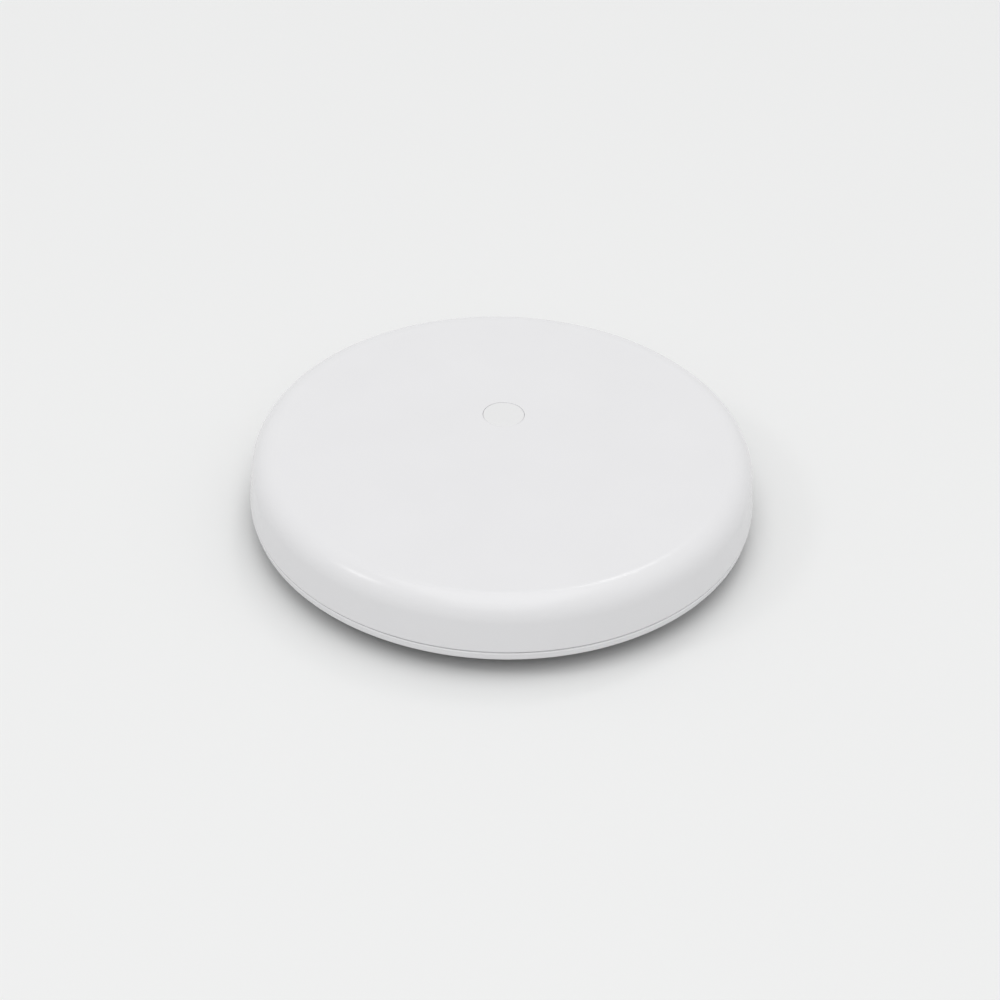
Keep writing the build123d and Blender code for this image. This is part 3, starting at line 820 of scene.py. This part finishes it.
class SENSOR_OT_battery_door(bpy.types.Operator):
    """Make the battery door: flange, coin slot, and the cup with its three slanting slots"""

    bl_idname = "sensor.battery_door"
    bl_label = "Battery door"

    def execute(self, context):
        size = context.scene.sensor_sizes
        shells = [self.body(size)]
        shells += [self.tooth(size, turn) for turn in LUG_TURNS]
        tones = context.scene.sensor_colours
        # the door's underside carries the grey coat of painted shade
        shade_coat_top = size.flange_top + SHADE_COAT_STEP
        material = moulded_plastic("door_plastic", tones.base, shade_coat=tones.underside, shade_coat_top=shade_coat_top)
        piece("door_body", shells, material, "door", "base_plastic", "battery_door")
        return {"FINISHED"}

    @staticmethod
    def slot_start(size):
        """Angle at which a slot begins, before the middle of its lug."""
        return -size.lug_arc / 2 - size.lug_gap / size.skirt_outside

    @staticmethod
    def slot_edge(size, around, side):
        """Height of a slot's lower (-1) or upper (1) edge at an angle from the middle of its lug."""
        half = size.lug_height / 2 + size.lug_gap
        return size.lug_level + side * half + size.thread_lead * around / (2 * pi)

    def body(self, size):
        """The door below its slots. Rows run from the middle of the coin slot's floor out to the
        flange and up the skirt to the lower edge of the slots, then down inside to the cup's floor."""
        start = self.slot_start(size)
        slack = 0.0004  # half of the angle over which the skirt steps down at a slot's start
        steps = [turn + start + side for turn in LUG_TURNS for side in (-slack, slack)]
        around = np.sort(np.concatenate([ROUND, np.array(steps) % (2 * pi)]))
        from_start = (around - start) % THIRD
        skirt_top = np.minimum(DOOR_HIGH.z, self.slot_edge(size, from_start + start, -1))
        skirt_top[from_start > THIRD - 2 * slack] = DOOR_HIGH.z
        slot_floor = DOOR_LOW.z + size.coin_slot_depth
        middle = turned(np.array([[0, slot_floor]]), around)
        half = size.coin_slot_width / 2
        slot = rounded([
            (0, slot_floor, 0),
            (half, slot_floor, DOOR_ROUND),
            (half, DOOR_LOW.z, SLIGHT),
            (DOOR_HIGH.x, DOOR_LOW.z, 0),
        ], closed=False)[1:-1]
        slot = turned(slot, around)
        slot[..., 0] += (size.coin_slot_length - size.coin_slot_width) / 2 * np.sign(np.cos(around))
        flange = rounded([
            (0, DOOR_LOW.z, 0),
            (DOOR_HIGH.x, DOOR_LOW.z, DOOR_ROUND),
            (DOOR_HIGH.x, size.flange_top, size.edge),
            (size.skirt_outside, size.flange_top, 0),
        ], closed=False)[1:]
        outer, inner = size.skirt_outside, size.skirt_outside - size.skirt_wall
        rim = np.array([outer, outer - CRISP, inner + CRISP, inner])[:, None]
        drop = np.array([CRISP, 0, 0, CRISP])[:, None]
        skirt = about_axis(rim, around, skirt_top - drop)
        cup = rounded(
            [(inner, DOOR_HIGH.z, 0), (inner, size.cup_floor, DOOR_ROUND), (0, size.cup_floor, 0)],
            closed=False,
        )[1:]
        return shell(np.concatenate([middle, slot, turned(flange, around), skirt, turned(cup, around)]))

    def tooth(self, size, turn):
        """The skirt above a slot: a wedge between the slot's upper edge and the top of the skirt."""
        half = size.lug_height / 2 + size.lug_gap
        end = (DOOR_HIGH.z - size.lug_level - half) * 2 * pi / size.thread_lead
        sections = 60
        blunt = 0.004  # angle that the wedge's thin end is cut short by
        along = np.linspace(self.slot_start(size), end - blunt, sections)
        inner, outer = size.skirt_outside - size.skirt_wall, size.skirt_outside
        low, top = self.slot_edge(size, along, 1), DOOR_HIGH.z
        edge = np.minimum(CRISP, (top - low) / 3)
        reach = np.broadcast_arrays(inner, outer, outer, outer - edge, inner + edge, inner)
        level = np.broadcast_arrays(low, low, top - edge, top, top, top - edge)
        around = (along + turn)[:, None]
        return shell(about_axis(np.stack(reach, axis=1), around, np.stack(level, axis=1)))


class SENSOR_OT_coin_cell(bpy.types.Operator):
    """Make the cell with its crimped can, its sealing ring and its cap, and finish its contacts"""

    bl_idname = "sensor.coin_cell"
    bl_label = "Coin cell"

    def execute(self, context):
        size = context.scene.sensor_sizes
        tones = context.scene.sensor_colours
        groove_width, groove_depth = 0.00055, 0.0003
        foot_round, crimp_round, lip_round, cap_round = 0.0006, 0.0009, 0.00008, 0.00025
        ring_slope = 0.00005
        can_top = CELL_HIGH.z - size.cap_rise
        outside = CELL_HIGH.x
        cap = outside - size.cap_inset
        lip = cap + groove_width
        groove = can_top - groove_depth
        profile = rounded([
            (0, CELL_LOW.z, 0),
            (outside, CELL_LOW.z, foot_round),
            (outside, can_top, crimp_round),
            (lip, can_top, lip_round),
            (lip, groove, 0),
            (cap, groove, 0),
            (cap, CELL_HIGH.z, cap_round),
            (0, CELL_HIGH.z, 0),
        ], closed=False)
        steel = rolled_steel("cell_steel", tones.steel, (1, 9, 1))
        piece("cell_can", [shell(turned(profile))], steel, "cell", "cell_steel", "coin_cell")
        ring = [(cap, groove), (lip, groove), (lip, can_top - ring_slope), (cap, can_top + ring_slope)]
        ring = shell(turned(np.array(ring)), loop=True)
        piece("cell_ring", [ring], rubber("cell_ring_nylon", tones.ceramic), "cell", "ceramic")
        bronze = rolled_steel("contact_bronze", tones.bronze, (1, 10, 1))
        dress(["negative_contact", "positive_contact"], bronze)
        return {"FINISHED"}


class SENSOR_OT_circuit_board(bpy.types.Operator):
    """Finish the circuit board and the parts that it carries"""

    bl_idname = "sensor.circuit_board"
    bl_label = "Circuit board"

    def execute(self, context):
        tones = context.scene.sensor_colours
        dress(["circuit_board"], board_lacquer("board_lacquer", tones.board))
        dress(["radio_shield", "clock_crystal"], rolled_steel("shield_tin", tones.tin, (12, 1, 1)))
        dress(["radio_chip", "detector_chip", "resistors"], moulded_resin("chip_resin", tones.chip))
        dress(["chip_antenna", "capacitors"], fired_ceramic("fired_ceramic", tones.ceramic))
        return {"FINISHED"}


class SENSOR_OT_stage(bpy.types.Operator):
    """Make the floor, the light and the camera of the photograph"""

    bl_idname = "sensor.stage"
    bl_label = "Stage"

    def execute(self, context):
        scene = context.scene
        studio = scene.sensor_studio
        tone = scene.sensor_colours.floor
        self.floor(scene, tone)
        self.sky(scene, studio, tone)
        for place, lamp in enumerate(LAMPS):
            self.lamp(scene, studio, f"lamp_{place}", *lamp)
        self.camera(scene, studio)
        scene.view_settings.view_transform = "Standard"
        return {"FINISHED"}

    @staticmethod
    def floor(scene, tone):
        """A round floor that reaches far beyond the view. It shows the given tone, and throws back a
        little less light than that."""
        reach, corners = 6.0, 64
        rim = about_axis(reach, np.linspace(0, 2 * pi, corners, endpoint=False), 0.0)
        mesh = bpy.data.meshes.new("floor")
        mesh.from_pydata(rim.tolist(), [], [list(range(corners))])
        floor = bpy.data.objects.new("floor", mesh)
        scene.collection.objects.link(floor)
        finish = Finish("floor_paper")
        grain = finish.noise(size=0.05, detail=2)
        paper = finish.tint(grain, tone, darker=0.998, lighter=1.002)
        lit = finish.tint(grain, tone, darker=0.898, lighter=0.902)
        finish.set(
            Base_Color=finish.blend(shown_rays(finish.tree), lit, paper),
            Roughness=0.9,
            Specular_IOR_Level=0.0,
        )
        mesh.materials.append(finish.material)

    @staticmethod
    def sky(scene, studio, tone):
        """Even light from all round, which the camera and reflections see as the floor's tone."""
        world = bpy.data.worlds.new("sky")
        scene.world = world
        world.use_nodes = True
        tree = world.node_tree
        tree.nodes.clear()
        mix = tree.nodes.new("ShaderNodeMixShader")
        tree.links.new(shown_rays(tree), mix.inputs[0])
        white = (1, 1, 1, 1)
        for place, (light, strength) in enumerate(((white, studio.sky), (tone, 1.0)), start=1):
            background = tree.nodes.new("ShaderNodeBackground")
            background.inputs["Color"].default_value = light
            background.inputs["Strength"].default_value = strength
            tree.links.new(background.outputs[0], mix.inputs[place])
        out = tree.nodes.new("ShaderNodeOutputWorld")
        tree.links.new(mix.outputs[0], out.inputs[0])

    @staticmethod
    def lamp(scene, studio, name, direction, side, share):
        """A square lamp that faces the sensor. Its power is what gives its share of the light on
        the floor: pi squared times the distance squared, over the slant of its light."""
        data = bpy.data.lights.new(name, "AREA")
        data.shape = "SQUARE"
        data.size = side
        towards = Vector(direction).normalized()
        data.energy = share * (pi * studio.lamp_distance) ** 2 / towards.z
        lamp = bpy.data.objects.new(name, data)
        lamp.location = towards * studio.lamp_distance
        lamp.rotation_mode = "QUATERNION"
        lamp.rotation_quaternion = (-towards).to_track_quat("-Z", "Y")
        scene.collection.objects.link(lamp)

    @staticmethod
    def camera(scene, studio):
        """The photograph's camera, rolled a little about its line of sight."""
        data = bpy.data.cameras.new("camera")
        data.lens = studio.focal
        data.shift_x = -studio.frame_right
        data.shift_y = -studio.frame_up
        camera = bpy.data.objects.new("camera", data)
        back = Vector((0, -cos(studio.elevation), sin(studio.elevation)))
        place = Vector((0, 0, studio.target)) + back * studio.distance
        turn = (-back).to_track_quat("-Z", "Y").to_matrix().to_4x4()
        camera.matrix_world = Matrix.Translation(place) @ turn @ Matrix.Rotation(studio.roll, 4, "Z")
        scene.collection.objects.link(camera)
        scene.camera = camera


class SENSOR_PT_panel(bpy.types.Panel):
    """Lists the sensor's pieces and settings"""

    bl_idname = "SENSOR_PT_panel"
    bl_label = "Water leak sensor"
    bl_space_type = "VIEW_3D"
    bl_region_type = "UI"
    bl_category = "Sensor"

    def draw(self, context):
        scene = context.scene
        for operator in OPERATORS:
            self.layout.operator(operator.bl_idname)
        for group in (scene.sensor_sizes, scene.sensor_colours, scene.sensor_studio):
            box = self.layout.box()
            for key in group.bl_rna.properties.keys():
                if key not in ("rna_type", "name"):
                    box.prop(group, key)


OPERATORS = (
    SENSOR_OT_top_cover,
    SENSOR_OT_base_shell,
    SENSOR_OT_test_button,
    SENSOR_OT_probe_studs,
    SENSOR_OT_seals,
    SENSOR_OT_battery_door,
    SENSOR_OT_coin_cell,
    SENSOR_OT_circuit_board,
    SENSOR_OT_stage,
)
CLASSES = (SensorSizes, SensorColours, StudioSettings, *OPERATORS, SENSOR_PT_panel)


def register():
    """Register the classes and their settings."""
    for item in CLASSES:
        bpy.utils.register_class(item)
    bpy.types.Scene.sensor_sizes = bpy.props.PointerProperty(type=SensorSizes)
    bpy.types.Scene.sensor_colours = bpy.props.PointerProperty(type=SensorColours)
    bpy.types.Scene.sensor_studio = bpy.props.PointerProperty(type=StudioSettings)


def unregister():
    """Remove the settings and the classes."""
    del bpy.types.Scene.sensor_studio
    del bpy.types.Scene.sensor_colours
    del bpy.types.Scene.sensor_sizes
    for item in reversed(CLASSES):
        bpy.utils.unregister_class(item)


def main():
    """Build the pieces and the stage."""
    register()
    bpy.ops.sensor.top_cover()
    bpy.ops.sensor.base_shell()
    bpy.ops.sensor.test_button()
    bpy.ops.sensor.probe_studs()
    bpy.ops.sensor.seals()
    bpy.ops.sensor.battery_door()
    bpy.ops.sensor.coin_cell()
    bpy.ops.sensor.circuit_board()
    bpy.ops.sensor.stage()


if __name__ == "__main__":
    main()
